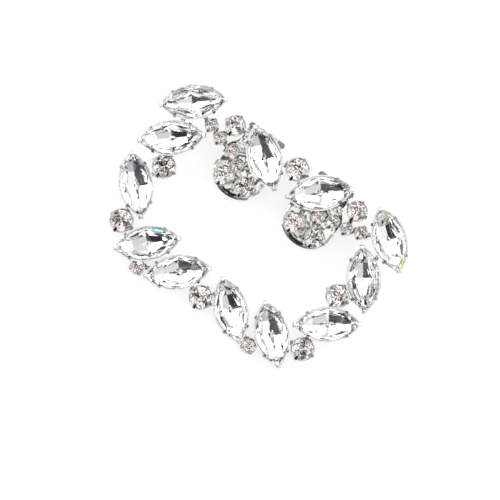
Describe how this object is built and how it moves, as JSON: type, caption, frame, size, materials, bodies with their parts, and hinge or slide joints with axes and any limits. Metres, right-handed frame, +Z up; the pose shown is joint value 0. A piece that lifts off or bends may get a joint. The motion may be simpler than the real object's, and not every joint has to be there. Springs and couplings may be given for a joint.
{
  "type": "shoe buckle",
  "caption": "Open shoe buckle set with foiled navette and round crystals in claw cups, with two sprung clips behind that grip a shoe's edge.",
  "frame": {"origin": "the middle of the footprint on the surface that the buckle lies on, face up", "axes": "+X along the buckle's length to the wearer's right of the picture, +Y to the edge with the clip hinges, +Z up out of the face"},
  "size_m": [0.0602, 0.0403, 0.0099],
  "materials": {
    "silver_plate": "rhodium-coloured plating over cast and pressed metal, bright with a soft bloom on the walls",
    "crystal": "clear cut glass with silver foil behind it, sharp polished facets"
  },
  "bodies": {
    "buckle": {"setting_frame": "silver_plate", "navette_01": "crystal", "navette_02": "crystal", "navette_03": "crystal", "navette_04": "crystal", "navette_05": "crystal", "navette_06": "crystal", "navette_07": "crystal", "navette_08": "crystal", "navette_09": "crystal", "navette_10": "crystal", "navette_11": "crystal", "navette_12": "crystal", "round_top": "crystal", "round_left": "crystal", "round_right": "crystal", "round_low_left": "crystal", "round_low_right": "crystal", "round_low": "crystal", "accent_left": "crystal", "accent_right": "crystal", "cluster_left_large": "crystal", "cluster_left_1": "crystal", "cluster_left_2": "crystal", "cluster_left_3": "crystal", "cluster_left_4": "crystal", "clip_left_outer": "crystal", "clip_left_inner": "crystal", "cluster_right_large": "crystal", "cluster_right_1": "crystal", "cluster_right_2": "crystal", "cluster_right_3": "crystal", "cluster_right_4": "crystal", "clip_right_outer": "crystal", "clip_right_inner": "crystal", "hinge_pin_left": "silver_plate", "hinge_pin_right": "silver_plate"},
    "lever_left": {"clip_lever_left": "silver_plate"},
    "lever_right": {"clip_lever_right": "silver_plate"}
  },
  "joints": [
    {"name": "clip_left_hinge", "type": "hinge", "parent": "buckle", "child": "lever_left", "pos_m": [-0.00849, 0.01861, 0.00469], "axis": [1, 0, 0], "range_deg": [0, 60], "stiffness_Nm_per_rad": 0.02, "springref_deg": -14.32},
    {"name": "clip_right_hinge", "type": "hinge", "parent": "buckle", "child": "lever_right", "pos_m": [0.00876, 0.01861, 0.00469], "axis": [1, 0, 0], "range_deg": [0, 60], "stiffness_Nm_per_rad": 0.02, "springref_deg": -14.32}
  ]
}
